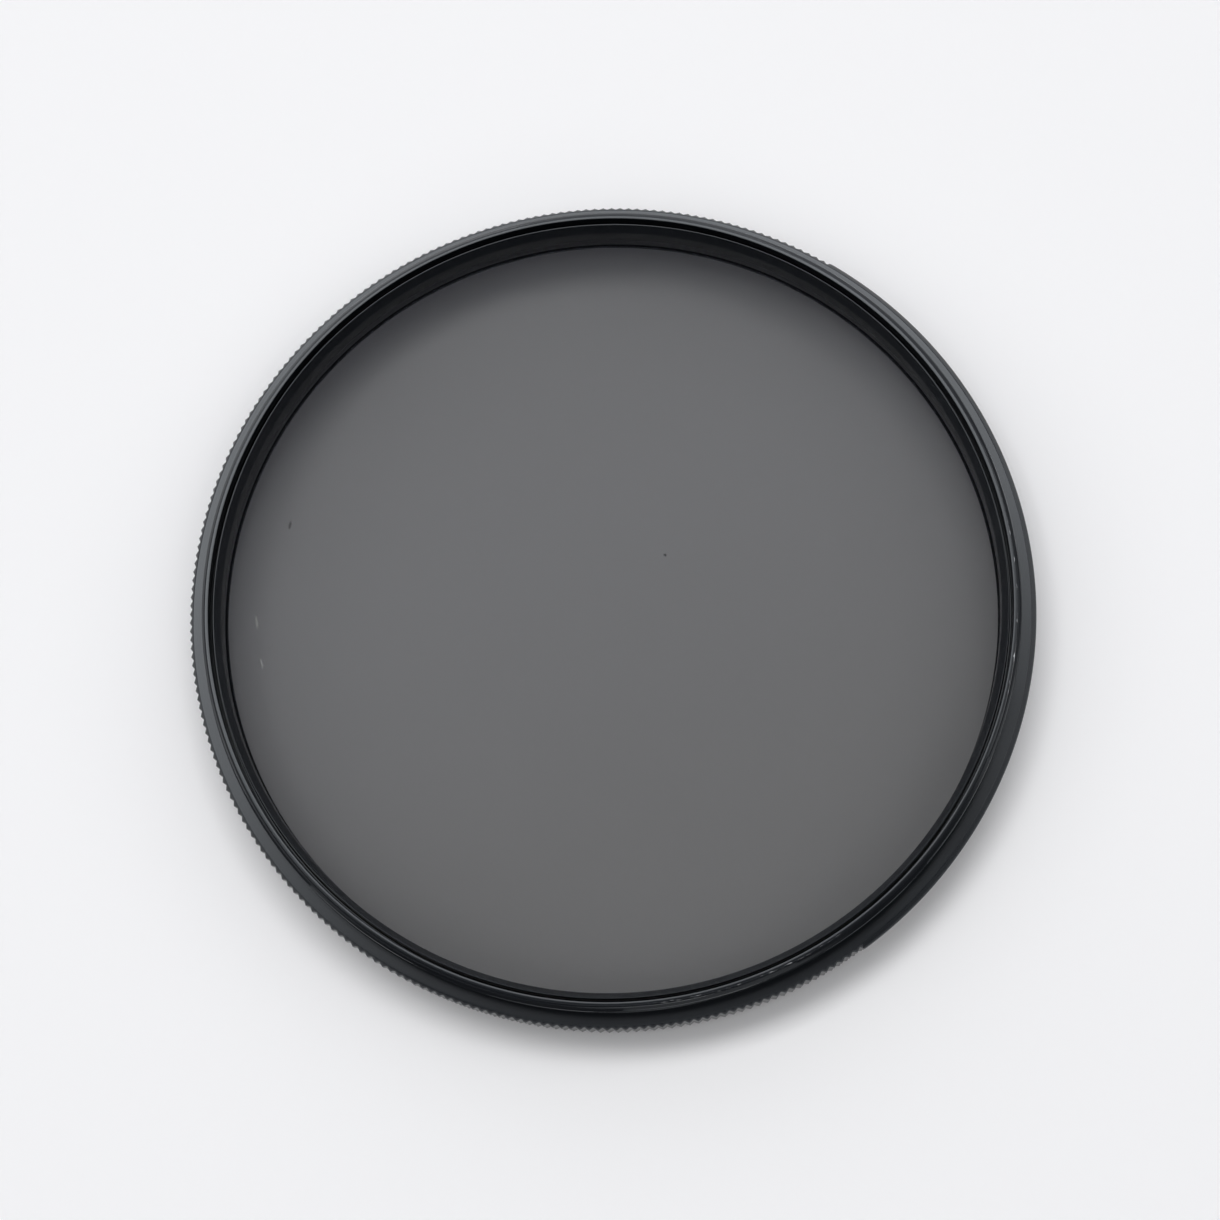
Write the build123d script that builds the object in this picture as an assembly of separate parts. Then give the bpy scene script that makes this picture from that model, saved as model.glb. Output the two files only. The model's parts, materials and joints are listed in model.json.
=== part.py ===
from build123d import *
import math
import os

# A rotating polarising lens filter, lying face down on its front rim.
# The optical axis is Z. Z is 0 at the front rim and grows towards the camera side,
# where the male thread is. The plain arc of the rear rim is centred on +X.

# Driving dimensions, in millimetres and degrees

# The two filter threads, drawn as plain walls at crest height
THREAD_DIAMETER = 77.0
THREAD_PITCH = 0.75
CREST_ALLOWANCE = 0.05          # the male crest lies this far inside the nominal radius
MALE_THREAD_LENGTH = 2.6
LEAD_CHAMFER = 0.45
LAND_WIDTH = 0.34               # flat end face of the male thread
FEMALE_THREAD_LENGTH = 2.3
MOUTH_CHAMFER = 0.35
METRIC_THREAD_RATIO = 0.54127   # depth of a metric thread for each millimetre of pitch

# The two rims
RIM_STANDOFF = 1.6              # the plain arc stands this far outside the nominal thread radius
RIM_HEIGHT = 5.5                # front face to rear shoulder
RIM_CHAMFER = 0.5
INNER_RIM_CHAMFER = 0.2         # where the two rims face each other
FRONT_RIM_HEIGHT = 3.55
RIM_GAP = 0.2                   # between the two rims
FRONT_RIM_SETBACK = 0.15        # the front rim is this much smaller in radius

# The straight knurl
KNURL_TEETH = 300               # on a full circle
PLAIN_ARC_TEETH = 94            # tooth pitches that the plain arc takes up
KNURL_DROP = 0.1                # the tooth tips lie this far inside the plain arc
KNURL_DEPTH = 0.25
PLAIN_ARC_FLANK = 0.35          # angle taken up by the sloping ends of the plain arc

# The turning cell inside the mount ring
SLEEVE_GAP = 0.34               # open gap between the male thread's ring and the sleeve
SLEEVE_WALL = 0.6
SLEEVE_DROP = 0.56              # the sleeve ends this far inside the male thread
SLEEVE_EDGE = 0.08              # narrow flat edge outside the bevel
BEVEL_HEIGHT = 0.97
CELL_WALL = 0.5
CELL_CAP = 0.4                  # ledge above the glass
RUNNING_CLEARANCE = 0.06        # radial, between the mount ring and the turning cell
THRUST_CLEARANCE = 0.05         # axial, between the mount ring's lip and the cell
LIP_THICKNESS = 0.7

# The spring wire that keeps the two rings together
WIRE_DIAMETER = 0.32
GROOVE_DEPTH = 0.14
GROOVE_CLEARANCE = 0.02
WIRE_LIP_CLEARANCE = 0.04
WIRE_GAP_ANGLE = 8.0
WIRE_GAP_PLACE = 138.0

# The optical stack and its retaining ring
GLASS_LEDGE = 0.38              # the glass reaches this far past the clear aperture
GLASS_CLEARANCE = 0.1
GLASS_THICKNESS = 0.8
GLASS_CHAMFER = 0.12
FILM_THICKNESS = 0.1
GLASS_SEAT_DEPTH = 0.6          # rear face of the glass below the shoulder
RETAINER_THICKNESS = 0.5
RETAINER_CHAMFER = 0.2
RETAINER_OVERLAP = 0.4          # the retaining ring's seat is this much wider than the glass pocket
RETAINER_CLEARANCE = 0.05
SPANNER_SLOT_WIDTH = 1.4
SPANNER_SLOT_DEPTH = 0.3

# Sizes and places that follow from them

thread_radius = THREAD_DIAMETER / 2
rim_radius = thread_radius + RIM_STANDOFF
crest_radius = thread_radius - CREST_ALLOWANCE
minor_radius = thread_radius - METRIC_THREAD_RATIO * THREAD_PITCH
land_radius = crest_radius - LEAD_CHAMFER
well_radius = land_radius - LAND_WIDTH
sleeve_radius = well_radius - SLEEVE_GAP
aperture_radius = sleeve_radius - SLEEVE_WALL
lip_radius = sleeve_radius + RUNNING_CLEARANCE
glass_radius = aperture_radius + GLASS_LEDGE
pocket_radius = glass_radius + GLASS_CLEARANCE
cell_radius = pocket_radius + CELL_WALL
journal_radius = cell_radius + RUNNING_CLEARANCE
retainer_seat_radius = pocket_radius + RETAINER_OVERLAP
retainer_radius = retainer_seat_radius - RETAINER_CLEARANCE
groove_radius = sleeve_radius - GROOVE_DEPTH
wire_radius = groove_radius + GROOVE_CLEARANCE + WIRE_DIAMETER / 2
tip_radius = rim_radius - KNURL_DROP
front_rim_radius = rim_radius - FRONT_RIM_SETBACK
front_tip_radius = front_rim_radius - KNURL_DROP

land_height = RIM_HEIGHT + MALE_THREAD_LENGTH
sleeve_top = land_height - SLEEVE_DROP
rear_rim_bottom = FRONT_RIM_HEIGHT + RIM_GAP
glass_top = RIM_HEIGHT - GLASS_SEAT_DEPTH
quarter_wave_top = glass_top - GLASS_THICKNESS
polariser_top = quarter_wave_top - FILM_THICKNESS
front_glass_top = polariser_top - FILM_THICKNESS
glass_bottom = front_glass_top - GLASS_THICKNESS
retainer_bottom = glass_bottom - RETAINER_THICKNESS
cell_top = glass_top + CELL_CAP
lip_bottom = cell_top + THRUST_CLEARANCE
lip_top = lip_bottom + LIP_THICKNESS
wire_height = lip_top + WIRE_LIP_CLEARANCE + WIRE_DIAMETER / 2
groove_half_height = WIRE_DIAMETER / 2 + GROOVE_CLEARANCE

tooth_angle = 360 / KNURL_TEETH
blank_margin = rim_radius - tip_radius + KNURL_DEPTH    # turned blank left outside the knurl


def turned(points):
    """Revolve a closed section, given as (radius, height) corners, about the optical axis."""
    outline = Polyline(*[(radius, 0, height) for radius, height in points], close=True)
    return revolve(make_face(outline), Axis.Z)


def at_angle(radius, angle):
    """Point on the XY plane at a radius and an angle in degrees."""
    turn = math.radians(angle)
    return (radius * math.cos(turn), radius * math.sin(turn))


def teeth(tip, count, first_angle):
    """Zigzag corners of straight knurl teeth: a root, then a tip and a root for each tooth."""
    corners = [at_angle(tip - KNURL_DEPTH, first_angle)]
    for tooth in range(count):
        start = first_angle + tooth * tooth_angle
        corners.append(at_angle(tip, start + tooth_angle / 2))
        corners.append(at_angle(tip - KNURL_DEPTH, start + tooth_angle))
    return corners


def rear_knurl_outline():
    """Outline of the mount ring's rim: teeth, with one plain arc that stands proud of them."""
    half_arc = PLAIN_ARC_TEETH * tooth_angle / 2
    arc_end = half_arc - PLAIN_ARC_FLANK
    corners = teeth(tip_radius, KNURL_TEETH - PLAIN_ARC_TEETH, half_arc)
    arc_start_point = at_angle(rim_radius, -arc_end)
    arc_end_point = at_angle(rim_radius, arc_end)
    zigzag = Polyline(arc_end_point, *corners, arc_start_point)
    plain_arc = ThreePointArc(arc_start_point, (rim_radius, 0), arc_end_point)
    return make_face([zigzag, plain_arc])


def front_knurl_outline():
    """Outline of the front ring's rim: teeth all the way round."""
    corners = teeth(front_tip_radius, KNURL_TEETH, 0)
    return make_face(Polyline(*corners[:-1], close=True))


def rear_mount_ring():
    """Ring that screws into the lens: male thread, shoulder, knurled rim and inner lip."""
    blank = rim_radius + blank_margin
    shoulder_chamfer = RIM_CHAMFER + blank_margin
    bottom_chamfer = INNER_RIM_CHAMFER + blank_margin
    ring = turned([
        (journal_radius, rear_rim_bottom),
        (blank - bottom_chamfer, rear_rim_bottom),
        (blank, rear_rim_bottom + bottom_chamfer),
        (blank, RIM_HEIGHT - shoulder_chamfer),
        (blank - shoulder_chamfer, RIM_HEIGHT),
        (crest_radius, RIM_HEIGHT),
        (crest_radius, land_height - LEAD_CHAMFER),
        (land_radius, land_height),
        (well_radius, land_height),
        (well_radius, lip_top),
        (lip_radius, lip_top),
        (lip_radius, lip_bottom),
        (journal_radius, lip_bottom),
    ])
    return ring & extrude(rear_knurl_outline(), land_height)


def front_ring():
    """Turning ring: knurled rim, front thread, glass pocket, and a bevelled sleeve behind it."""
    blank = front_rim_radius + blank_margin
    front_chamfer = RIM_CHAMFER + blank_margin
    top_chamfer = INNER_RIM_CHAMFER + blank_margin
    ring = turned([
        (minor_radius + MOUTH_CHAMFER, 0),
        (blank - front_chamfer, 0),
        (blank, front_chamfer),
        (blank, FRONT_RIM_HEIGHT - top_chamfer),
        (blank - top_chamfer, FRONT_RIM_HEIGHT),
        (cell_radius, FRONT_RIM_HEIGHT),
        (cell_radius, cell_top),
        (sleeve_radius, cell_top),
        (sleeve_radius, wire_height - groove_half_height),
        (groove_radius, wire_height - groove_half_height),
        (groove_radius, wire_height + groove_half_height),
        (sleeve_radius, wire_height + groove_half_height),
        (sleeve_radius, sleeve_top),
        (sleeve_radius - SLEEVE_EDGE, sleeve_top),
        (aperture_radius, sleeve_top - BEVEL_HEIGHT),
        (aperture_radius, glass_top),
        (pocket_radius, glass_top),
        (pocket_radius, glass_bottom),
        (retainer_seat_radius, glass_bottom),
        (retainer_seat_radius, FEMALE_THREAD_LENGTH),
        (minor_radius, FEMALE_THREAD_LENGTH),
        (minor_radius, MOUTH_CHAMFER),
    ])
    return ring & extrude(front_knurl_outline(), sleeve_top)


def retaining_ring():
    """Thin ring that screws in from the front and holds the glass, with two spanner slots."""
    ring = turned([
        (aperture_radius + RETAINER_CHAMFER, retainer_bottom),
        (retainer_radius, retainer_bottom),
        (retainer_radius, glass_bottom),
        (aperture_radius, glass_bottom),
        (aperture_radius, retainer_bottom + RETAINER_CHAMFER),
    ])
    slot = Box(
        SPANNER_SLOT_WIDTH, 2 * rim_radius, SPANNER_SLOT_DEPTH, align=(Align.CENTER, Align.CENTER, Align.MIN)
    )
    return ring - Pos(0, 0, retainer_bottom) * slot


def snap_wire():
    """Open ring of round spring wire in the sleeve's groove, above the mount ring's lip."""
    section = Plane.XZ * Pos(wire_radius, wire_height) * Circle(WIRE_DIAMETER / 2)
    sweep_angle = 360 - WIRE_GAP_ANGLE
    wire = revolve(section, Axis.Z, sweep_angle)
    return Rot(0, 0, WIRE_GAP_PLACE + WIRE_GAP_ANGLE / 2) * wire


def disc(bottom, thickness):
    """Round disc of the optical stack, standing on a height."""
    return Pos(0, 0, bottom) * Cylinder(
        glass_radius, thickness, align=(Align.CENTER, Align.CENTER, Align.MIN)
    )


def front_glass():
    """Glass disc on the front side, with its open edge ground."""
    glass = disc(glass_bottom, GLASS_THICKNESS)
    return chamfer(glass.edges().group_by(Axis.Z)[0], GLASS_CHAMFER)


def rear_glass():
    """Glass disc on the camera side, with its open edge ground."""
    glass = disc(quarter_wave_top, GLASS_THICKNESS)
    return chamfer(glass.edges().group_by(Axis.Z)[-1], GLASS_CHAMFER)


pieces = {
    "rear_mount_ring": rear_mount_ring(),
    "front_ring": front_ring(),
    "retaining_ring": retaining_ring(),
    "snap_wire": snap_wire(),
    "front_glass": front_glass(),
    "polarising_film": disc(front_glass_top, FILM_THICKNESS),
    "quarter_wave_film": disc(polariser_top, FILM_THICKNESS),
    "rear_glass": rear_glass(),
}

os.makedirs("parts", exist_ok=True)
for name, piece in pieces.items():
    export_step(piece, f"parts/{name}.step")
    print(name, round(piece.volume, 2), "mm3")
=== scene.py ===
# %% [markdown]
# # A rotating polarising lens filter
# The object is a disc of grey glass in two thin black rings. The rear ring screws into a lens, and the
# front ring turns in it with the glass. The filter lies face down, so the male thread points up.
# The CAD frame gives the true sizes and the motion. This lesson gives every piece a finer mesh and
# the finish of the real thing: satin black anodising, a cut knurl, fine threads and coated glass.

# %% Load the frame
import json
import math

import bpy
import numpy as np
from mathutils import Matrix, Vector


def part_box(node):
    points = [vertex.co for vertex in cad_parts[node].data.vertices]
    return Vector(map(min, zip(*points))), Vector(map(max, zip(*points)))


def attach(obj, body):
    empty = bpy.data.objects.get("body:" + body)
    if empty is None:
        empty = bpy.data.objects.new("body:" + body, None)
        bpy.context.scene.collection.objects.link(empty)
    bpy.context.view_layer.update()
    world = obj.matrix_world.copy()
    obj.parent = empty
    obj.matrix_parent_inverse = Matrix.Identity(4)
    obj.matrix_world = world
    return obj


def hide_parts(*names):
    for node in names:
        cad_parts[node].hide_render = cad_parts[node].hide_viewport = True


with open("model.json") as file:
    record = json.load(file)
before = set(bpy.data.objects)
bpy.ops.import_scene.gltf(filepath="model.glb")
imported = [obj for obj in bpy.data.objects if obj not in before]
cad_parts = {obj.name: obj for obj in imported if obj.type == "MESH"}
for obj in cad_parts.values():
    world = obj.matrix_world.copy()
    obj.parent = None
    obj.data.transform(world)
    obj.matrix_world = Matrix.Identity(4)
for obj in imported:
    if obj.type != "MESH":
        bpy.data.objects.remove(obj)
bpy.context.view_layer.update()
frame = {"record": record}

# %% [markdown]
# ## Sizes
# Places come from the frame wherever it holds them: the box of each CAD node and the record's mounts.
# What a box can't tell, such as a chamfer, is named once, here or where it is first needed, in
# millimetres turned into metres.

# %% Sizes
MM = 0.001
FULL_TURN = 2 * math.pi

rear_low, rear_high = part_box("rear_mount_ring")
_, front_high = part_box("front_ring")
retainer_low, retainer_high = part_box("retaining_ring")
wire_low, wire_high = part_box("snap_wire")
front_glass_low, front_glass_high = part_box("front_glass")
rear_glass_low, rear_glass_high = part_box("rear_glass")
mounts = {mount["name"]: mount for mount in frame["record"]["mounts"]}

RIM_RADIUS = rear_high.x
LAND_HEIGHT = rear_high.z          # the land is the end face of the male thread
REAR_RIM_BOTTOM = rear_low.z
FRONT_TIP_RADIUS = front_high.x
SLEEVE_TOP = front_high.z
CREST_RADIUS = mounts["rear_thread"]["dims"]["r_mm"] * MM
MINOR_RADIUS = mounts["front_thread"]["dims"]["r_mm"] * MM
GLASS_TOP = rear_glass_high.z
GLASS_BOTTOM = front_glass_low.z
GLASS_RADIUS = rear_glass_high.x
WIRE_RADIUS = (wire_high.z - wire_low.z) / 2
WIRE_HEIGHT = (wire_high.z + wire_low.z) / 2

SHOULDER_HEIGHT = 5.5 * MM
LEAD_CHAMFER = 0.45 * MM
LAND_RADIUS = CREST_RADIUS - LEAD_CHAMFER

print("rim radius", RIM_RADIUS, "land height", LAND_HEIGHT, "glass top", GLASS_TOP)

# %% [markdown]
# ## Node maths
# Shaders and Geometry Nodes share the same Math nodes, so one small class serves both. It wraps a
# socket, and each operator adds one node to the tree that the socket lives in. Any other node comes
# from one method, `node`, which sets the node's settings first and then fills or links its sockets.


# %% Node maths
class Value:
    """A socket that can stand in a Python expression."""

    def __init__(self, maker, socket):
        self.maker = maker
        self.socket = socket

    def __add__(self, other):
        return self.maker.math("ADD", self, other)

    def __sub__(self, other):
        return self.maker.math("SUBTRACT", self, other)

    def __rsub__(self, other):
        return self.maker.math("SUBTRACT", other, self)

    def __mul__(self, other):
        return self.maker.math("MULTIPLY", self, other)

    def __truediv__(self, other):
        return self.maker.math("DIVIDE", self, other)

    def __pow__(self, other):
        return self.maker.math("POWER", self, other)

    def __abs__(self):
        return self.maker.math("ABSOLUTE", self)

    def __lt__(self, other):
        return self.maker.math("LESS_THAN", self, other)

    def __gt__(self, other):
        return self.maker.math("GREATER_THAN", self, other)

    __radd__ = __add__
    __rmul__ = __mul__


class Maker:
    """Adds nodes to one tree: a material's, the world's or a Geometry Nodes group's."""

    def __init__(self, tree):
        self.tree = tree

    def node(self, kind, settings=None, inputs=None):
        made = self.tree.nodes.new(kind)
        for name, setting in (settings or {}).items():
            setattr(made, name, setting)
        for name, item in (inputs or {}).items():
            self.fill(made.inputs[name], item)
        return made

    def fill(self, socket, item):
        if isinstance(item, Value):
            item = item.socket
        if isinstance(item, bpy.types.NodeSocket):
            self.tree.links.new(item, socket)
        else:
            socket.default_value = item

    def value(self, made, output=0):
        return Value(self, made.outputs[output])

    def math(self, operation, *items):
        made = self.node("ShaderNodeMath", {"operation": operation}, dict(enumerate(items)))
        return self.value(made)

    def clamped(self, item):
        made = self.node("ShaderNodeClamp", {}, {"Value": item})
        return self.value(made)

    def smooth_step(self, item, low, high):
        settings = {"interpolation_type": "SMOOTHSTEP"}
        made = self.node("ShaderNodeMapRange", settings, {"Value": item, "From Min": low, "From Max": high})
        return self.value(made)


# %% [markdown]
# ## Geometry Nodes helpers
# Each tree has named inputs for its sizes. A modifier's inputs are set by the socket's identifier, and
# the evaluated result becomes a plain mesh, because a finished piece carries no live modifier.


# %% Geometry Nodes helpers
def new_tree(name, sizes):
    """A group with a geometry input, one float input for each size, a material and an output."""
    tree = bpy.data.node_groups.new(name, "GeometryNodeTree")
    tree.interface.new_socket("Geometry", in_out="INPUT", socket_type="NodeSocketGeometry")
    for label in sizes:
        tree.interface.new_socket(label, in_out="INPUT", socket_type="NodeSocketFloat")
    tree.interface.new_socket("Material", in_out="INPUT", socket_type="NodeSocketMaterial")
    tree.interface.new_socket("Geometry", in_out="OUTPUT", socket_type="NodeSocketGeometry")
    maker = Maker(tree)
    group_in = maker.node("NodeGroupInput")
    inputs = {label: Value(maker, group_in.outputs[label]) for label in (*sizes, "Geometry", "Material")}
    return maker, inputs


def close_tree(maker, inputs, geometry):
    """End a tree in Realize Instances and Set Material."""
    realized = maker.node("GeometryNodeRealizeInstances", {}, {"Geometry": geometry})
    painted = maker.node(
        "GeometryNodeSetMaterial", {}, {"Geometry": realized.outputs[0], "Material": inputs["Material"]}
    )
    maker.node("NodeGroupOutput", {}, {"Geometry": painted.outputs[0]})
    print("tree", maker.tree.name, "has", len(maker.tree.nodes), "nodes")
    return maker.tree


def run_tree(piece, tree, sizes, material):
    """Run a tree on a piece and keep the result as the piece's plain mesh."""
    modifier = piece.modifiers.new(tree.name, "NODES")
    modifier.node_group = tree
    for item in tree.interface.items_tree:
        if item.in_out == "INPUT" and item.name in sizes:
            modifier[item.identifier] = float(sizes[item.name])
        if item.in_out == "INPUT" and item.name == "Material":
            modifier[item.identifier] = material
    evaluated = piece.evaluated_get(bpy.context.evaluated_depsgraph_get())
    mesh = bpy.data.meshes.new_from_object(evaluated)
    piece.modifiers.clear()
    piece.data = mesh
    print(piece.name, tree.name, "gave", len(mesh.polygons), "faces")


# %% [markdown]
# ## Turned sections
# Every ring and disc here came off a lathe, so each one is a closed section of radius and height,
# turned about the optical axis. The corners are eased first, because a real edge is never sharp and
# the thin bright lines on the ring are light caught by those edges.

# %% Turned sections
EDGE_BREAK = 0.04 * MM             # every turned edge is broken by about this much
MOST_OF_SIDE = 0.3                 # and by no more than this share of a short side
SHARP_ANGLE = 17                   # degrees, less than an eased chamfer turns, so that flats stay flat


def eased(section, amount=EDGE_BREAK):
    """Replace each corner of a closed section by two points, a short way along its two sides."""
    points = [Vector(point) for point in section]
    result = []
    for index, corner in enumerate(points):
        for neighbour in (points[index - 1], points[(index + 1) % len(points)]):
            side = neighbour - corner
            result.append(corner + side * min(amount / side.length, MOST_OF_SIDE))
    return result


def divided(section, longest):
    """Add points on a closed section so that no step is longer than the limit for its place."""
    result = []
    for index, start in enumerate(section):
        end = section[(index + 1) % len(section)]
        steps = max(1, math.ceil((end - start).length / longest(start, end)))
        for step in range(steps):
            result.append(start.lerp(end, step / steps))
    return result


def turned(name, section, segments):
    """Revolve a closed section, listed anticlockwise with the axis on the left, into a closed ring."""
    rows = len(section)
    radius = np.array([point.x for point in section])
    height = np.array([point.y for point in section])
    turn = np.arange(segments) * FULL_TURN / segments
    corners = np.stack([
        np.outer(np.cos(turn), radius),
        np.outer(np.sin(turn), radius),
        np.tile(height, (segments, 1)),
    ], axis=-1).reshape(-1, 3)
    column, row = np.meshgrid(np.arange(segments), np.arange(rows), indexing="ij")
    next_column = (column + 1) % segments
    next_row = (row + 1) % rows
    faces = np.stack([
        column * rows + row,
        next_column * rows + row,
        next_column * rows + next_row,
        column * rows + next_row,
    ], axis=-1).reshape(-1, 4)
    mesh = bpy.data.meshes.new(name)
    mesh.from_pydata(corners.tolist(), [], faces.tolist())
    piece = bpy.data.objects.new(name, mesh)
    bpy.context.scene.collection.objects.link(piece)
    print(name, "turned from", rows, "rows and", segments, "segments")
    return piece


def shade(piece, sharp_angle=SHARP_ANGLE):
    """Smooth shading, with edges over an angle left sharp."""
    piece.data.shade_smooth()
    piece.data.set_sharp_from_angle(angle=math.radians(sharp_angle))


# %% [markdown]
# ## Cutting the knurl
# A knurl is cut into a plain rim, so the tree never adds metal: it only moves points in that lie
# outside the tooth outline. The outline is a zigzag of the angle, with one plain arc in it that
# stands slightly proud, and the same rule shapes the rim's wall and both of its chamfers.

# %% Cutting the knurl
KNURL_TEETH = 300
KNURL_DROP = 0.1 * MM              # tooth tips lie this far inside the plain arc
KNURL_DEPTH = 0.25 * MM
PLAIN_ARC_TEETH = 94
PLAIN_ARC_FLANK = math.radians(0.35)
PLAIN_ARC_HALF = PLAIN_ARC_TEETH * FULL_TURN / KNURL_TEETH / 2


def polar_position(maker):
    """Place, angle and radius of each point."""
    position = maker.node("GeometryNodeInputPosition")
    split = maker.node("ShaderNodeSeparateXYZ", {}, {"Vector": position.outputs[0]})
    x, y, z = (maker.value(split, axis) for axis in "XYZ")
    angle = maker.math("ARCTAN2", y, x)
    radius = maker.math("SQRT", x * x + y * y)
    return x, y, z, angle, radius


def moved_to_radius(maker, geometry, polar, new_radius, selection=None):
    """Set Position that moves each point along its own radius."""
    x, y, z, _, radius = polar
    scale = new_radius / radius
    target = maker.node("ShaderNodeCombineXYZ", {}, {"X": x * scale, "Y": y * scale, "Z": z})
    inputs = {"Geometry": geometry, "Position": target.outputs[0]}
    if selection is not None:
        inputs["Selection"] = selection
    return maker.node("GeometryNodeSetPosition", {}, inputs).outputs[0]


def knurl_tree():
    sizes = ("Teeth", "Tip Radius", "Tooth Depth", "Plain Radius", "Plain Half Angle", "Plain Flank")
    maker, inputs = new_tree("cut_knurl", sizes)
    polar = polar_position(maker)
    angle, radius = polar[3:]
    phase = maker.math("FRACT", angle * inputs["Teeth"] / FULL_TURN + inputs["Teeth"])
    tooth = 1 - abs(phase - 0.5) * 2
    knurled = inputs["Tip Radius"] - inputs["Tooth Depth"] * (1 - tooth)
    root = inputs["Tip Radius"] - inputs["Tooth Depth"]
    past_flat = abs(angle) - inputs["Plain Half Angle"] + inputs["Plain Flank"]
    slope = maker.clamped(past_flat / inputs["Plain Flank"])
    plain = inputs["Plain Radius"] - (inputs["Plain Radius"] - root) * slope
    in_arc = abs(angle) < inputs["Plain Half Angle"]
    limit = knurled + (plain - knurled) * in_arc
    new_radius = maker.math("MINIMUM", radius, limit)
    return close_tree(maker, inputs, moved_to_radius(maker, inputs["Geometry"], polar, new_radius))


cut_knurl = knurl_tree()

# %% [markdown]
# ## Cutting the threads
# A filter thread is a fine right-hand helix. The tree works out how far a point is from the middle of
# the groove, from its height and its angle, and moves it to the thread's V form. A side of 1 cuts a
# male thread into a wall, and a side of -1 cuts a female one.

# %% Cutting the threads
THREAD_PITCH = 0.75 * MM
THREAD_DEPTH = 0.406 * MM
GROOVE_HALF_AT_CREST = 0.4375      # half widths of the V groove, in pitches
GROOVE_HALF_AT_ROOT = 0.125


def thread_tree():
    sizes = ("Side", "Wall Radius", "Pitch", "Thread Depth", "From", "To", "Run Out")
    maker, inputs = new_tree("cut_thread", sizes)
    polar = polar_position(maker)
    z, angle, radius = polar[2:]
    phase = maker.math("FRACT", z / inputs["Pitch"] - angle / FULL_TURN + 1)
    flank = GROOVE_HALF_AT_CREST - GROOVE_HALF_AT_ROOT
    groove = maker.clamped((GROOVE_HALF_AT_CREST - abs(phase - 0.5)) / flank)
    run_out = maker.clamped((z - inputs["From"]) / inputs["Run Out"])
    run_in = maker.clamped((inputs["To"] - z) / inputs["Run Out"])
    depth = inputs["Thread Depth"] * groove * run_out * run_in
    side = inputs["Side"]
    limit = inputs["Wall Radius"] - side * depth
    new_radius = side * maker.math("MINIMUM", side * radius, side * limit)
    inside = (z > inputs["From"]) * (z < inputs["To"])
    return close_tree(maker, inputs, moved_to_radius(maker, inputs["Geometry"], polar, new_radius, inside))


cut_thread = thread_tree()

# %% [markdown]
# ## Shader helpers
# Every finish of the filter is one Principled shader, with noise that varies its colour and roughness.
# The noise reads object coordinates, which are metres from the frame's origin on the optical axis. So its
# scales are large numbers, and no piece needs to be unwrapped.

# %% Shader helpers
PLAIN_DETAIL = 2.0
FINE_DETAIL = 1.0
LATHE_DETAIL = 3.0


def new_material(name):
    material = bpy.data.materials.new(name)
    material.use_nodes = True
    material.node_tree.nodes.clear()
    return material, Maker(material.node_tree)


def surface(maker, **sockets):
    """Principled shader on the material's output. Socket names use _ for a space."""
    inputs = {name.replace("_", " "): item for name, item in sockets.items()}
    shader = maker.node("ShaderNodeBsdfPrincipled", {}, inputs)
    maker.node("ShaderNodeOutputMaterial", {}, {"Surface": shader.outputs[0]})
    print("material of", len(maker.tree.nodes), "nodes sets", list(inputs))


def colour_mix(maker, factor, first, second):
    """Mix two colours. The Mix node has sockets of one name for each kind, so these go by number."""
    made = maker.node("ShaderNodeMix", {"data_type": "RGBA"}, {"Factor": factor})
    maker.fill(made.inputs[6], first)
    maker.fill(made.inputs[7], second)
    return made.outputs[2]


def object_point(maker):
    """The point itself, its three coordinates and its distance from the axis."""
    coordinates = maker.node("ShaderNodeTexCoord")
    split = maker.node("ShaderNodeSeparateXYZ", {}, {"Vector": coordinates.outputs["Object"]})
    x, y, z = (maker.value(split, axis) for axis in "XYZ")
    return coordinates.outputs["Object"], x, y, z, maker.math("SQRT", x * x + y * y)


def noise(maker, vector, scale, detail=PLAIN_DETAIL):
    made = maker.node("ShaderNodeTexNoise", {}, {"Vector": vector, "Scale": scale, "Detail": detail})
    return maker.value(made, "Fac")


def lathe_lines(maker, radius, z, scale):
    """Noise that depends only on radius and height, so it draws concentric turning marks."""
    vector = maker.node("ShaderNodeCombineXYZ", {}, {"X": radius, "Y": z, "Z": 0.0})
    return noise(maker, vector.outputs[0], scale, LATHE_DETAIL)


# %% [markdown]
# ## Worn edges
# The rear ring has been screwed in and out many times. The skin is rubbed thin along the thread's first
# crest, and the outer edge of the end face is knocked down to bare metal in two stretches. Both masks
# follow the point's radius and height, so they stay on their edge and need no painting by hand.

# %% Worn edges
WORN_ANGLES = (math.radians(-5), math.radians(288))
WORN_SPREAD = math.radians(16)
WORN_ACROSS = (0.04 * MM, 0.09 * MM)     # whole up to the first distance, gone at the second
WORN_DEPTH = (0.12 * MM, 0.06 * MM)
DASH_SCALE = 1000.0
DASH_ALONG = 1.2                   # the noise is squeezed across the edge, which turns spots into dashes
DASH_ACROSS = 14
DASH_CUT = (0.60, 0.66)
RUB_INSET = 0.02 * MM
RUB_ACROSS = (0.03 * MM, 0.10 * MM)
RUB_UP = (0.05 * MM, 0.14 * MM)
RUB_SCALE = 70.0
RUB_CUT = (0.42, 0.66)
LEAST_RUB = 0.25


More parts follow.
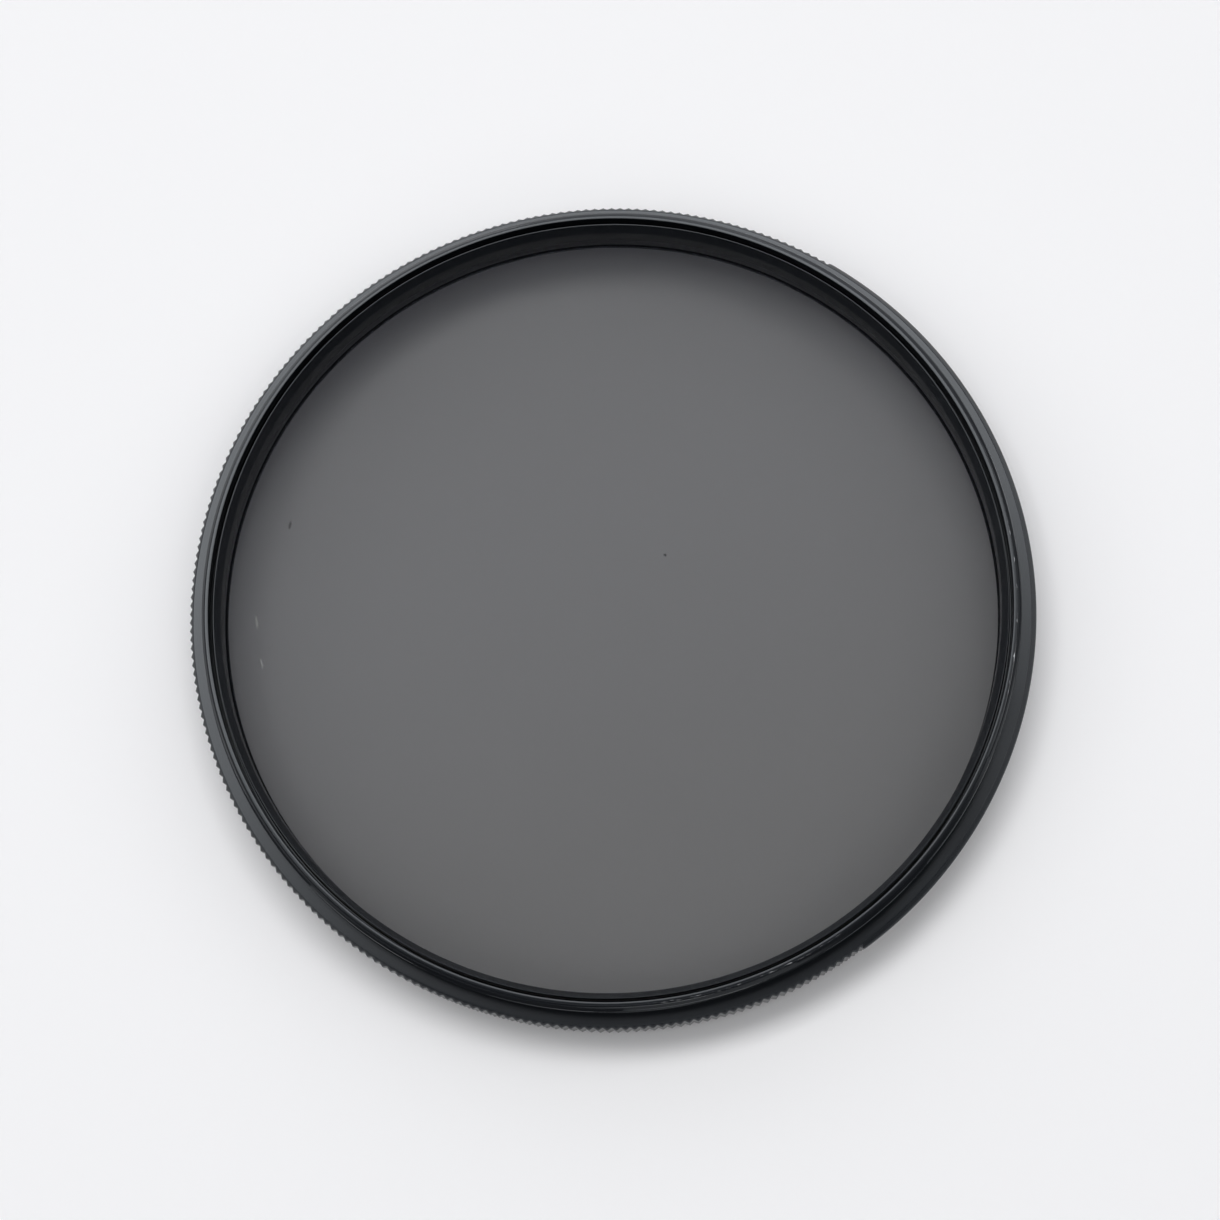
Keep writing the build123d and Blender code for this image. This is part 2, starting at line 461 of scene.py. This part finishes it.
def worn_land(maker, x, y, radius, z):
    """Dashes of bare metal on the end face's outer edge, in the two stretches that were knocked."""
    along = maker.math("ARCTAN2", y, x) * LAND_RADIUS
    vector = maker.node(
        "ShaderNodeCombineXYZ", {}, {"X": along * DASH_ALONG, "Y": radius * DASH_ACROSS, "Z": 0.0}
    )
    dashes = maker.smooth_step(noise(maker, vector.outputs[0], DASH_SCALE, FINE_DETAIL), *DASH_CUT)
    on_edge = 1 - maker.smooth_step(abs(radius - LAND_RADIUS), *WORN_ACROSS)
    on_top = maker.smooth_step(z, *(LAND_HEIGHT - depth for depth in WORN_DEPTH))
    knocked = 0
    for angle in WORN_ANGLES:
        toward = (x * math.cos(angle) + y * math.sin(angle)) / radius
        knocked = knocked + maker.smooth_step(toward, math.cos(WORN_SPREAD), 1)
    return maker.clamped(dashes * on_edge * on_top * knocked)


def rubbed_crest(maker, point, radius, z):
    """A patchy line of rubbed skin where the thread's crest meets the lead chamfer."""
    crest_line = 1 - maker.smooth_step(abs(radius - (CREST_RADIUS - RUB_INSET)), *RUB_ACROSS)
    on_lead = 1 - maker.smooth_step(abs(z - (LAND_HEIGHT - LEAD_CHAMFER)), *RUB_UP)
    patches = maker.smooth_step(noise(maker, point, RUB_SCALE), *RUB_CUT)
    return crest_line * on_lead * (LEAST_RUB + (1 - LEAST_RUB) * patches)


# %% [markdown]
# ## Black anodised aluminium
# The rings are turned aluminium with a satin black anodised skin. The dye is a very dark blue grey,
# slightly cloudy, and the turning marks run round the axis. The marks also drive a fine bump, which
# only breaks up the reflections: every edge and tooth that shows is in the mesh.

# %% Black anodised aluminium
DYE = (0.0040, 0.0048, 0.0064, 1)
DYE_PALE = (0.0090, 0.0107, 0.0138, 1)
RUBBED = (0.16, 0.165, 0.17, 1)
BARE_METAL = (0.62, 0.63, 0.65, 1)
COOL_GLOSS = (0.90, 0.95, 1.0, 1)
ANODISED_IOR = 1.5                 # the hard oxide skin
MARK_SCALE = 9000.0
CLOUD_SCALE = 160.0
GRAIN_SCALE = 5200.0
PALE_BY_CLOUD = 0.6
PALE_BY_MARKS = 0.3
SKIN_ROUGHNESS = 0.18
ROUGH_BY_MARKS = 0.05
ROUGH_BY_CLOUD = 0.04
RUBBED_METALLIC = 0.6              # metal that shows through rubbed skin
BUMP_STRENGTH = 0.16
BUMP_DISTANCE = 0.01 * MM
BUMP_BY_MARKS = 0.7
BUMP_BY_GRAIN = 0.5


def anodised_black():
    material, maker = new_material("anodised_black")
    point, x, y, z, radius = object_point(maker)
    marks = lathe_lines(maker, radius, z, MARK_SCALE)
    cloud = noise(maker, point, CLOUD_SCALE)
    grain = noise(maker, point, GRAIN_SCALE, FINE_DETAIL)
    rubbed = rubbed_crest(maker, point, radius, z)
    bare = worn_land(maker, x, y, radius, z)
    dyed = colour_mix(maker, cloud * PALE_BY_CLOUD + marks * PALE_BY_MARKS, DYE, DYE_PALE)
    rubbed_colour = colour_mix(maker, rubbed, dyed, RUBBED)
    bump = maker.node("ShaderNodeBump", {}, {
        "Strength": BUMP_STRENGTH,
        "Distance": BUMP_DISTANCE,
        "Height": marks * BUMP_BY_MARKS + grain * BUMP_BY_GRAIN,
    })
    surface(
        maker,
        Base_Color=colour_mix(maker, bare, rubbed_colour, BARE_METAL),
        Roughness=SKIN_ROUGHNESS + marks * ROUGH_BY_MARKS + cloud * ROUGH_BY_CLOUD,
        Metallic=maker.math("MAXIMUM", rubbed * RUBBED_METALLIC, bare),
        IOR=ANODISED_IOR,
        Specular_Tint=COOL_GLOSS,
        Normal=bump.outputs[0],
    )
    return material


black = anodised_black()

# %% [markdown]
# ## Rear mount ring
# The section runs from the rim's lower edge, round the knurled rim and its wide shoulder, up the male
# thread, over its end face and down the inside to the lip that the turning cell runs in. Rows are
# close together only where the knurl and the thread are cut, which keeps the mesh small.

# %% Rear mount ring
RUNNING_CLEARANCE = 0.06 * MM
CELL_RADIUS = 37.7 * MM
SLEEVE_RADIUS = 37.32 * MM
LIP_BOTTOM = 5.35 * MM
LIP_TOP = 6.05 * MM
RIM_CHAMFER = 0.5 * MM
INNER_RIM_CHAMFER = 0.2 * MM
LAND_WIDTH = 0.34 * MM
LAND_CROWN = 0.015 * MM            # the end face is slightly rounded
THREAD_START = 0.1 * MM            # the male thread starts this far above the shoulder
MALE_RUN_OUT = 0.5 * MM
SEGMENTS_PER_TOOTH = 4             # two on each flank of a tooth
LONG_ROW = 4 * MM
CHAMFER_ROW = 0.15 * MM
THREAD_ROW = 0.1 * MM
BLANK_MARGIN = KNURL_DROP + KNURL_DEPTH    # blank left outside the tooth tips, for the cut


def row_limit(start, end):
    """Row length on a ring: short on rim chamfers and threads, long elsewhere."""
    middle = (start + end) / 2
    slanted = min(abs(end.x - start.x), abs(end.y - start.y)) > EDGE_BREAK
    on_thread = abs(middle.x - CREST_RADIUS) < EDGE_BREAK or abs(middle.x - MINOR_RADIUS) < EDGE_BREAK
    if on_thread:
        return THREAD_ROW
    if slanted:
        return CHAMFER_ROW
    return LONG_ROW


well_radius = LAND_RADIUS - LAND_WIDTH
crown_width = LAND_WIDTH / 3
lip_radius = SLEEVE_RADIUS + RUNNING_CLEARANCE
journal_radius = CELL_RADIUS + RUNNING_CLEARANCE
blank = RIM_RADIUS + BLANK_MARGIN
shoulder_chamfer = RIM_CHAMFER + BLANK_MARGIN
bottom_chamfer = INNER_RIM_CHAMFER + BLANK_MARGIN
rear_section = [
    (journal_radius, REAR_RIM_BOTTOM),
    (blank - bottom_chamfer, REAR_RIM_BOTTOM),
    (blank, REAR_RIM_BOTTOM + bottom_chamfer),
    (blank, SHOULDER_HEIGHT - shoulder_chamfer),
    (blank - shoulder_chamfer, SHOULDER_HEIGHT),
    (CREST_RADIUS, SHOULDER_HEIGHT),
    (CREST_RADIUS, LAND_HEIGHT - LEAD_CHAMFER),
    (LAND_RADIUS, LAND_HEIGHT - LAND_CROWN),
    (LAND_RADIUS - crown_width, LAND_HEIGHT),
    (well_radius + crown_width, LAND_HEIGHT),
    (well_radius, LAND_HEIGHT - LAND_CROWN),
    (well_radius, LIP_TOP),
    (lip_radius, LIP_TOP),
    (lip_radius, LIP_BOTTOM),
    (journal_radius, LIP_BOTTOM),
]
rear_ring = turned(
    "rear_ring", divided(eased(rear_section), row_limit), KNURL_TEETH * SEGMENTS_PER_TOOTH
)
run_tree(rear_ring, cut_knurl, {
    "Teeth": KNURL_TEETH,
    "Tip Radius": RIM_RADIUS - KNURL_DROP,
    "Tooth Depth": KNURL_DEPTH,
    "Plain Radius": RIM_RADIUS,
    "Plain Half Angle": PLAIN_ARC_HALF,
    "Plain Flank": PLAIN_ARC_FLANK,
}, black)
run_tree(rear_ring, cut_thread, {
    "Side": 1,
    "Wall Radius": CREST_RADIUS,
    "Pitch": THREAD_PITCH,
    "Thread Depth": THREAD_DEPTH,
    "From": SHOULDER_HEIGHT + THREAD_START,
    "To": LAND_HEIGHT + THREAD_PITCH,
    "Run Out": MALE_RUN_OUT,
}, black)
shade(rear_ring)

# %% [markdown]
# ## Front ring
# The turning ring carries the glass. Its knurl goes all the way round, its front thread is cut into the
# bore, and its sleeve stands up inside the rear ring, with a wide dark bevel around the glass.

# %% Front ring
FRONT_RIM_HEIGHT = 3.55 * MM
FEMALE_THREAD_LENGTH = 2.3 * MM
FEMALE_RUN_OUT = 0.3 * MM
MOUTH_CHAMFER = 0.35 * MM
APERTURE_RADIUS = 36.72 * MM
SLEEVE_EDGE = 0.08 * MM
BEVEL_HEIGHT = 0.97 * MM
CELL_TOP = 5.3 * MM
POCKET_RADIUS = 37.2 * MM
RETAINER_SEAT_RADIUS = 37.6 * MM
GROOVE_RADIUS = 37.18 * MM
WIRE_PLAY = 0.02 * MM              # room round the wire in its groove
GROOVE_HALF = WIRE_RADIUS + WIRE_PLAY

front_blank = FRONT_TIP_RADIUS + KNURL_DROP + BLANK_MARGIN
front_chamfer = RIM_CHAMFER + BLANK_MARGIN
front_section = [
    (MINOR_RADIUS + MOUTH_CHAMFER, 0),
    (front_blank - front_chamfer, 0),
    (front_blank, front_chamfer),
    (front_blank, FRONT_RIM_HEIGHT - bottom_chamfer),
    (front_blank - bottom_chamfer, FRONT_RIM_HEIGHT),
    (CELL_RADIUS, FRONT_RIM_HEIGHT),
    (CELL_RADIUS, CELL_TOP),
    (SLEEVE_RADIUS, CELL_TOP),
    (SLEEVE_RADIUS, WIRE_HEIGHT - GROOVE_HALF),
    (GROOVE_RADIUS, WIRE_HEIGHT - GROOVE_HALF),
    (GROOVE_RADIUS, WIRE_HEIGHT + GROOVE_HALF),
    (SLEEVE_RADIUS, WIRE_HEIGHT + GROOVE_HALF),
    (SLEEVE_RADIUS, SLEEVE_TOP),
    (SLEEVE_RADIUS - SLEEVE_EDGE, SLEEVE_TOP),
    (APERTURE_RADIUS, SLEEVE_TOP - BEVEL_HEIGHT),
    (APERTURE_RADIUS, GLASS_TOP),
    (POCKET_RADIUS, GLASS_TOP),
    (POCKET_RADIUS, GLASS_BOTTOM),
    (RETAINER_SEAT_RADIUS, GLASS_BOTTOM),
    (RETAINER_SEAT_RADIUS, FEMALE_THREAD_LENGTH),
    (MINOR_RADIUS, FEMALE_THREAD_LENGTH),
    (MINOR_RADIUS, MOUTH_CHAMFER),
]
front_piece = turned(
    "front_turning_ring",
    divided(eased(front_section), row_limit),
    KNURL_TEETH * SEGMENTS_PER_TOOTH,
)
run_tree(front_piece, cut_knurl, {
    "Teeth": KNURL_TEETH,
    "Tip Radius": FRONT_TIP_RADIUS,
    "Tooth Depth": KNURL_DEPTH,
    "Plain Radius": FRONT_TIP_RADIUS,
    "Plain Half Angle": 0,
    "Plain Flank": PLAIN_ARC_FLANK,
}, black)
run_tree(front_piece, cut_thread, {
    "Side": -1,
    "Wall Radius": MINOR_RADIUS,
    "Pitch": THREAD_PITCH,
    "Thread Depth": THREAD_DEPTH,
    "From": -THREAD_PITCH,
    "To": FEMALE_THREAD_LENGTH - EDGE_BREAK,
    "Run Out": FEMALE_RUN_OUT,
}, black)
shade(front_piece)

# %% [markdown]
# ## Retaining ring
# A thin ring screws in from the front and holds the glass. A pin spanner turns it by two slots. They run
# right across the ring, so no boolean is needed: the points of the front face that lie in a slot are
# raised to its floor.

# %% Retaining ring
RETAINER_RADIUS = retainer_high.x
RETAINER_CHAMFER = 0.2 * MM
RETAINER_EDGE_BREAK = 0.02 * MM
SLOT_HALF_WIDTH = 0.7 * MM
SLOT_DEPTH = 0.3 * MM
RETAINER_SEGMENTS = 1440

retainer_section = [
    (APERTURE_RADIUS + RETAINER_CHAMFER, retainer_low.z),
    (RETAINER_RADIUS, retainer_low.z),
    (RETAINER_RADIUS, retainer_high.z),
    (APERTURE_RADIUS, retainer_high.z),
    (APERTURE_RADIUS, retainer_low.z + RETAINER_CHAMFER),
]
retainer = turned("retainer", eased(retainer_section, RETAINER_EDGE_BREAK), RETAINER_SEGMENTS)
for corner in retainer.data.vertices:
    if abs(corner.co.x) < SLOT_HALF_WIDTH:
        corner.co.z = max(corner.co.z, retainer_low.z + SLOT_DEPTH)
retainer.data.materials.append(black)
shade(retainer)

# %% [markdown]
# ## Snap wire
# An open ring of blackened spring wire sits in the sleeve's groove at the bottom of the dark gap and
# keeps the two rings together. A curve arc with a round profile is the natural way to make it.

# %% Snap wire
WIRE_CENTRE_RADIUS = GROOVE_RADIUS + WIRE_PLAY + WIRE_RADIUS
WIRE_GAP_ANGLE = math.radians(8)
WIRE_GAP_PLACE = math.radians(138)
WIRE_POINTS = 361
WIRE_SIDES = 12
WIRE_SHARP_ANGLE = 40              # degrees, more than the 30 between two sides, so the wire looks round
WIRE_DARK = (0.02, 0.02, 0.022, 1)
WIRE_PALE = (0.06, 0.06, 0.062, 1)
STAIN_SCALE = 900.0
WIRE_METALLIC = 0.85
WIRE_ROUGHNESS = 0.35
ROUGH_BY_STAIN = 0.2


def wire_tree():
    sizes = ("Ring Radius", "Wire Radius", "Height", "Start Angle", "Sweep Angle")
    maker, inputs = new_tree("bend_wire", sizes)
    arc = maker.node("GeometryNodeCurveArc", {"mode": "RADIUS"}, {
        "Resolution": WIRE_POINTS,
        "Radius": inputs["Ring Radius"],
        "Start Angle": inputs["Start Angle"],
        "Sweep Angle": inputs["Sweep Angle"],
    })
    profile = maker.node(
        "GeometryNodeCurvePrimitiveCircle", {"mode": "RADIUS"},
        {"Resolution": WIRE_SIDES, "Radius": inputs["Wire Radius"]},
    )
    tube = maker.node("GeometryNodeCurveToMesh", {}, {
        "Curve": arc.outputs["Curve"], "Profile Curve": profile.outputs["Curve"], "Fill Caps": True,
    })
    lift = maker.node("ShaderNodeCombineXYZ", {}, {"Z": inputs["Height"]})
    placed = maker.node(
        "GeometryNodeTransform", {}, {"Geometry": tube.outputs[0], "Translation": lift.outputs[0]}
    )
    return close_tree(maker, inputs, placed.outputs[0])


def spring_steel():
    material, maker = new_material("spring_steel")
    point = object_point(maker)[0]
    stain = noise(maker, point, STAIN_SCALE)
    surface(
        maker,
        Base_Color=colour_mix(maker, stain, WIRE_DARK, WIRE_PALE),
        Metallic=WIRE_METALLIC,
        Roughness=WIRE_ROUGHNESS + stain * ROUGH_BY_STAIN,
    )
    return material


wire_piece = bpy.data.objects.new("spring_wire", bpy.data.meshes.new("spring_wire"))
bpy.context.scene.collection.objects.link(wire_piece)
run_tree(wire_piece, wire_tree(), {
    "Ring Radius": WIRE_CENTRE_RADIUS,
    "Wire Radius": WIRE_RADIUS,
    "Height": WIRE_HEIGHT,
    "Start Angle": WIRE_GAP_PLACE + WIRE_GAP_ANGLE / 2,
    "Sweep Angle": FULL_TURN - WIRE_GAP_ANGLE,
}, spring_steel())
shade(wire_piece, WIRE_SHARP_ANGLE)

# %% [markdown]
# ## Marks on the glass
# A used filter carries a little dirt. Here it is a dark fleck, a dark dot and two pale scuffs on the rear
# face. Each is one soft long spot in the material: a Mapping node moves, turns and scales the point so
# that the spot becomes a unit ball, and the distance from its middle gives the fade.

# %% Marks on the glass
DUST = (0.03, 0.026, 0.022, 1)
SCUFF = (0.20, 0.205, 0.185, 1)
MARK_FADE = (1.0, 0.3)             # from the edge of a mark to its full strength
GLASS_MARKS = (                    # place, half length, half width (mm), lie (degrees), colour, cover
    ((-30.47, 8.93), 0.55, 0.18, -101, DUST, 0.70),
    ((5.39, 4.58), 0.22, 0.20, -37, DUST, 0.75),
    ((-33.62, -0.52), 1.00, 0.21, -82, SCUFF, 0.14),
    ((-33.14, -4.54), 0.95, 0.12, -73, SCUFF, 0.12),
)


def glass_mark(maker, point, place, half_length, half_width, lie):
    """A long soft spot on the rear face: 1 in its middle, fading to 0 at its edge."""
    from_mark = maker.node("ShaderNodeMapping", {"vector_type": "TEXTURE"}, {
        "Vector": point,
        "Location": (place[0] * MM, place[1] * MM, GLASS_TOP),
        "Rotation": (0, 0, math.radians(lie)),
        "Scale": (half_length * MM, half_width * MM, half_width * MM),
    })
    reach = maker.node("ShaderNodeVectorMath", {"operation": "LENGTH"}, {0: from_mark.outputs[0]})
    return maker.smooth_step(maker.value(reach, "Value"), *MARK_FADE)


# %% [markdown]
# ## Polarising glass
# Two coated glass discs and two films are cemented into one disc, with no air between them. Only its two
# outer faces meet the air. The polarising film takes up light on the way through, and here each of the
# two faces holds back half of it, so a face lets through the square root of the stack's share. At a low
# angle coated glass still mirrors the room, so the alpha rises with the facing angle.

# %% Polarising glass
STACK_PASS = 0.40                  # light that gets through the stack once
COATED_IOR = 1.20                  # a coating reflects less than bare glass, like a lower index
COATING_TINT = (0.75, 0.80, 1.0, 1)
GLASS_DARK = (0.002, 0.002, 0.003, 1)
GLASS_PALE = (0.005, 0.005, 0.006, 1)
SMEAR_SCALE = 60.0
GLASS_ROUGHNESS = 0.10
ROUGH_BY_SMEAR = 0.06
EVEN_BLEND = 0.5
LOW_ANGLE_POWER = 5                # how late the mirror sets in as the view gets lower


def polarising_glass():
    material, maker = new_material("polarising_glass")
    point = object_point(maker)[0]
    smear = noise(maker, point, SMEAR_SCALE)
    facing = maker.value(maker.node("ShaderNodeLayerWeight", {}, {"Blend": EVEN_BLEND}), "Facing")
    face_alpha = 1 - math.sqrt(STACK_PASS)
    alpha = face_alpha + (1 - face_alpha) * facing ** LOW_ANGLE_POWER
    colour = colour_mix(maker, smear, GLASS_DARK, GLASS_PALE)
    for place, half_length, half_width, lie, mark_colour, cover in GLASS_MARKS:
        mark = glass_mark(maker, point, place, half_length, half_width, lie)
        colour = colour_mix(maker, mark, colour, mark_colour)
        alpha = alpha + (1 - alpha) * mark * cover
    surface(
        maker,
        Base_Color=colour,
        Roughness=GLASS_ROUGHNESS + smear * ROUGH_BY_SMEAR,
        IOR=COATED_IOR,
        Specular_Tint=COATING_TINT,
        Alpha=alpha,
    )
    return material


# %% [markdown]
# ## Glass stack
# One closed turned disc stands for both glasses and both films. Four separate discs would put eight
# see-through faces in a row, more than the renderer follows, and the middle would turn black. The rims
# of the discs are ground and blackened, and show as a soft dark band inside the sleeve.

# %% Glass stack
DISC_SEGMENTS = 720
GLASS_CHAMFER = 0.12 * MM
AXIS_HOLE = 0.001 * MM             # too small to see, and keeps the turned disc all quads
EDGE_ROWS = range(1, 6)            # rows of the section's chamfers and outer wall
EDGE_DARK = (0.09, 0.095, 0.105, 1)
EDGE_PALE = (0.15, 0.155, 0.17, 1)
EDGE_SCALE = 4000.0
EDGE_ROUGHNESS = 0.75
ROUGH_BY_GRINDING = 0.2


def ground_edge():
    material, maker = new_material("ground_glass_edge")
    point = object_point(maker)[0]
    grain = noise(maker, point, EDGE_SCALE, FINE_DETAIL)
    surface(
        maker,
        Base_Color=colour_mix(maker, grain, EDGE_DARK, EDGE_PALE),
        Roughness=EDGE_ROUGHNESS + grain * ROUGH_BY_GRINDING,
    )
    return material


stack_section = [
    Vector((AXIS_HOLE, GLASS_BOTTOM)),
    Vector((GLASS_RADIUS - GLASS_CHAMFER, GLASS_BOTTOM)),
    Vector((GLASS_RADIUS, GLASS_BOTTOM + GLASS_CHAMFER)),
    Vector((GLASS_RADIUS, front_glass_high.z)),
    Vector((GLASS_RADIUS, rear_glass_low.z)),
    Vector((GLASS_RADIUS, GLASS_TOP - GLASS_CHAMFER)),
    Vector((GLASS_RADIUS - GLASS_CHAMFER, GLASS_TOP)),
    Vector((AXIS_HOLE, GLASS_TOP)),
]
glass_stack = turned("glass_stack", stack_section, DISC_SEGMENTS)
glass_stack.data.materials.append(polarising_glass())
glass_stack.data.materials.append(ground_edge())
for number, face in enumerate(glass_stack.data.polygons):
    if number % len(stack_section) in EDGE_ROWS:
        face.material_index = 1
shade(glass_stack)
print("glass stack", (GLASS_TOP - GLASS_BOTTOM) / MM, "mm thick")

# %% [markdown]
# ## Camera
# The photograph looks down at the filter from a short distance, 14 degrees off the vertical, with the
# camera turned a little about its own axis. The camera is placed by those angles about the middle of
# the shoulder, and the aim moves that point to where the photograph has it.

# %% Camera
IMAGE_SIZE = 1220
FOCAL_PIXELS = 2548.3
SENSOR_WIDTH = 36.0
CAMERA_DISTANCE = 240.6 * MM
CAMERA_TILT = math.radians(14.04)
CAMERA_ROLL = math.radians(10.85)
NEAR_SIDE_ANGLE = math.radians(279.04)
CENTRE_PIXEL = Vector((609.35, 602.35))
CLIP_START = 10 * MM

ring_centre = Vector((0, 0, SHOULDER_HEIGHT))
near_side = Vector((math.cos(NEAR_SIDE_ANGLE), math.sin(NEAR_SIDE_ANGLE), 0))
away = near_side * math.sin(CAMERA_TILT) + Vector((0, 0, 1)) * math.cos(CAMERA_TILT)
camera_place = ring_centre + away * CAMERA_DISTANCE
level_right = (-away).cross(Vector((0, 0, 1))).normalized()
level_up = level_right.cross(-away)
roll_cos = math.cos(CAMERA_ROLL)
roll_sin = math.sin(CAMERA_ROLL)
image_right = level_right * roll_cos - level_up * roll_sin
image_up = level_right * roll_sin + level_up * roll_cos
from_middle = (Vector((IMAGE_SIZE / 2, IMAGE_SIZE / 2)) - CENTRE_PIXEL) * CAMERA_DISTANCE / FOCAL_PIXELS
aim = ring_centre + image_right * from_middle.x - image_up * from_middle.y

camera_back = (camera_place - aim).normalized()
camera_right = (image_right - camera_back * image_right.dot(camera_back)).normalized()
camera_up = camera_back.cross(camera_right)
camera_data = bpy.data.cameras.new("camera")
camera_data.sensor_width = SENSOR_WIDTH
camera_data.lens = SENSOR_WIDTH * FOCAL_PIXELS / IMAGE_SIZE
camera_data.clip_start = CLIP_START
camera = bpy.data.objects.new("camera", camera_data)
camera_turn = Matrix((camera_right, camera_up, camera_back)).transposed()
camera.matrix_world = Matrix.Translation(camera_place) @ camera_turn.to_4x4()
bpy.context.scene.collection.objects.link(camera)
bpy.context.scene.camera = camera
print("camera at", camera_place, "lens", camera_data.lens)

# %% [markdown]
# ## Floor
# The filter lies on a plain white floor. It is wide enough that its edge stays out of low views.

# %% Floor
FLOOR_SIZE = 8.0
FLOOR_WHITE = (0.93, 0.93, 0.943, 1)
FLOOR_ROUGHNESS = 0.8

floor_half = FLOOR_SIZE / 2
floor_corners = [(-floor_half, -floor_half, 0), (floor_half, -floor_half, 0),
                 (floor_half, floor_half, 0), (-floor_half, floor_half, 0)]
floor_mesh = bpy.data.meshes.new("floor")
floor_mesh.from_pydata(floor_corners, [], [(0, 1, 2, 3)])
floor = bpy.data.objects.new("floor", floor_mesh)
bpy.context.scene.collection.objects.link(floor)
floor_paint, floor_maker = new_material("floor_white")
surface(floor_maker, Base_Color=FLOOR_WHITE, Roughness=FLOOR_ROUGHNESS)
floor_mesh.materials.append(floor_paint)

# %% [markdown]
# ## Soft lights
# One broad soft light stands on the far side, a little to the left. A real softbox fades towards its
# rim, so three panels share its power. They have one far edge in common and reach nearer and nearer, and
# each is a little behind the one before it, because panels in one plane would hide each other. Weak
# panels at the two sides and at the near end lift the shade.

# %% Soft lights
KEY_DISTANCE = 1.0
KEY_STEP = 0.03
KEY_NEAR_EDGES = (math.radians(14.5), math.radians(11), math.radians(8.5))
KEY_FAR_EDGE = math.radians(32)
KEY_WIDTH = 0.95
KEY_TURN = math.radians(8)         # the softbox stands this far round to the left of the far side
KEY_RADIANCE = 4.5
FILL_DISTANCE = 1.2
FILL_SIZE = 1.0
SIDE_FILL_OFF_VERTICAL = math.radians(44)
SIDE_FILL_RADIANCE = 1.15
NEAR_FILL_OFF_VERTICAL = math.radians(38)
NEAR_FILL_RADIANCE = 0.7


def soft_panel(name, way, off_vertical, distance, width, depth, radiance):
    """A rectangular light that looks at the ring from a compass way and an angle off the vertical."""
    data = bpy.data.lights.new(name, "AREA")
    data.shape = "RECTANGLE"
    data.size = width
    data.size_y = depth
    data.energy = radiance * math.pi * width * depth
    panel = bpy.data.objects.new(name, data)
    direction = way.normalized() * math.sin(off_vertical) + Vector((0, 0, 1)) * math.cos(off_vertical)
    panel.location = ring_centre + direction * distance
    panel.rotation_euler = direction.to_track_quat("Z", "Y").to_euler()
    bpy.context.scene.collection.objects.link(panel)


far_side = -near_side
left_side = -level_right
key_way = far_side * math.cos(KEY_TURN) + left_side * math.sin(KEY_TURN)
for number, near_edge in enumerate(KEY_NEAR_EDGES):
    distance = KEY_DISTANCE + number * KEY_STEP
    depth = 2 * distance * math.tan((KEY_FAR_EDGE - near_edge) / 2)
    soft_panel(
        f"far_softbox_{number}", key_way, (KEY_FAR_EDGE + near_edge) / 2, distance,
        KEY_WIDTH, depth, KEY_RADIANCE / len(KEY_NEAR_EDGES)
    )
for name, way, off_vertical, radiance in (
    ("left_fill", left_side, SIDE_FILL_OFF_VERTICAL, SIDE_FILL_RADIANCE),
    ("right_fill", -left_side, SIDE_FILL_OFF_VERTICAL, SIDE_FILL_RADIANCE),
    ("near_fill", near_side, NEAR_FILL_OFF_VERTICAL, NEAR_FILL_RADIANCE),
):
    soft_panel(name, way, off_vertical, FILL_DISTANCE, FILL_SIZE, FILL_SIZE, radiance)

# %% [markdown]
# ## Room
# The rest of the room is dim, and brighter towards the far side where the softbox stands. The world's
# Generated coordinates are the direction of a ray, so a dot product with the far side gives that fade.

# %% Room
ROOM_COLOUR = (0.95, 0.96, 1.0, 1)
ROOM_NEAR = 0.05
ROOM_FAR = 0.9
ROOM_FADE = (0.3, 0.9)             # how far a direction leans to the far side, from dark to bright
EXPOSURE = 0.03

world = bpy.data.worlds.new("room")
world.use_nodes = True
world.node_tree.nodes.clear()
room = Maker(world.node_tree)
room_way = room.node("ShaderNodeTexCoord").outputs["Generated"]
lean = room.node("ShaderNodeVectorMath", {"operation": "DOT_PRODUCT"}, {0: room_way, 1: far_side})
far_share = room.smooth_step(room.value(lean, "Value"), *ROOM_FADE)
background = room.node("ShaderNodeBackground", {}, {
    "Color": ROOM_COLOUR,
    "Strength": ROOM_NEAR + (ROOM_FAR - ROOM_NEAR) * far_share,
})
room.node("ShaderNodeOutputWorld", {}, {"Surface": background.outputs[0]})
bpy.context.scene.world = world
bpy.context.scene.view_settings.view_transform = "Standard"
bpy.context.scene.view_settings.exposure = EXPOSURE
print("room strength from", ROOM_NEAR, "to", ROOM_FAR)

# %% [markdown]
# ## Join the pieces to the frame
# The rear ring stays with the mount, and everything else turns with the cell. Each piece stands for the
# CAD nodes whose place it takes.

# %% Join the pieces to the frame
BLACK_SLOT = "black_anodised"
STACK_NODES = ("rear_glass", "quarter_wave_film", "polarising_film", "front_glass")
joined = [
    (rear_ring, "mount", ("rear_mount_ring",), BLACK_SLOT),
    (front_piece, "turning_cell", ("front_ring",), BLACK_SLOT),
    (retainer, "turning_cell", ("retaining_ring",), BLACK_SLOT),
    (wire_piece, "turning_cell", ("snap_wire",), "spring_steel"),
    (glass_stack, "turning_cell", STACK_NODES, "coated_glass"),
]
for piece, body, nodes, slot in joined:
    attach(piece, body)
    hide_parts(*nodes)
    print(piece.name, "stands for", nodes, "on", body)
